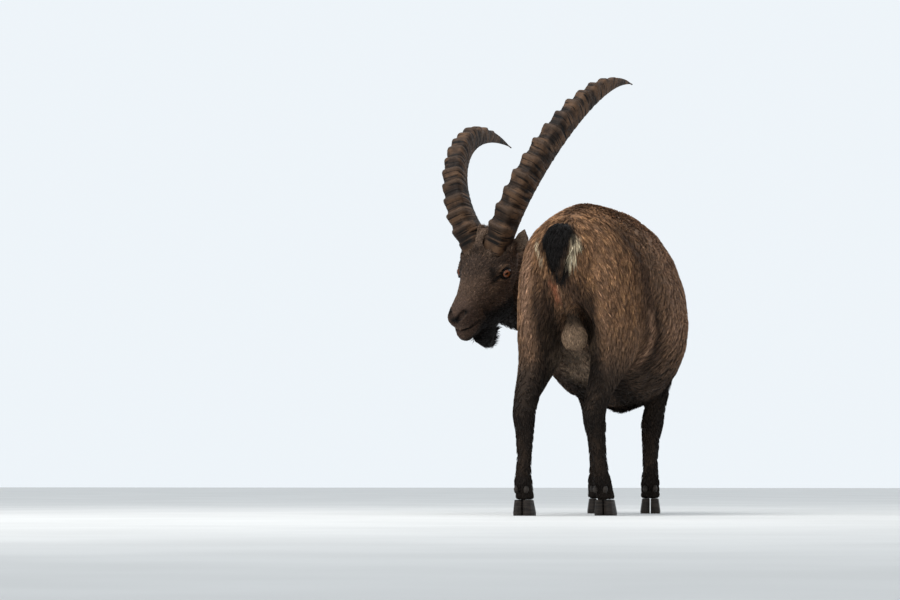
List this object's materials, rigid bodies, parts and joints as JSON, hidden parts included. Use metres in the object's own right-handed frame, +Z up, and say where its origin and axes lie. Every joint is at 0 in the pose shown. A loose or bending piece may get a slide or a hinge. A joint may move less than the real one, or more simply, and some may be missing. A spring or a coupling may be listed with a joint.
{
  "type": "alpine ibex",
  "caption": "Life-size standing model of a male alpine ibex, a wild mountain goat, looking back over its left flank, with long ridged horns that curve back.",
  "frame": {"origin": "on the floor, at the middle of the animal's bounding box seen from above", "axes": "+Z up, from the floor to the horns; the body faces -Y and its left side is towards +X"},
  "size_m": [0.748, 1.1878, 1.2833],
  "materials": {
    "coat": "short speckled coat of grey-brown hair",
    "dark_coat": "dark brown hair",
    "pale_coat": "thin pale hair",
    "tail": "long black hair with pale edges",
    "horn": "dull ridged horn",
    "claw": "worn dark hoof",
    "eye": "wet amber eye"
  },
  "bodies": {
    "root": {"trunk": "coat", "hind_leg_left": "dark_coat", "hind_leg_right": "dark_coat", "fore_leg_left": "dark_coat", "fore_leg_right": "dark_coat", "hind_claw_left_outer": "claw", "hind_claw_left_inner": "claw", "hind_claw_right_outer": "claw", "hind_claw_right_inner": "claw", "fore_claw_left_outer": "claw", "fore_claw_left_inner": "claw", "fore_claw_right_outer": "claw", "fore_claw_right_inner": "claw", "hind_claw_left_outer_dew": "claw", "hind_claw_left_inner_dew": "claw", "hind_claw_right_outer_dew": "claw", "hind_claw_right_inner_dew": "claw", "fore_claw_left_outer_dew": "claw", "fore_claw_left_inner_dew": "claw", "fore_claw_right_outer_dew": "claw", "fore_claw_right_inner_dew": "claw", "neck": "coat", "head": "coat", "beard": "dark_coat", "ear_left": "coat", "ear_right": "coat", "eye_left": "eye", "eye_right": "eye", "horn_left": "horn", "horn_right": "horn", "scrotum": "pale_coat", "tail": "tail"}
  },
  "joints": []
}
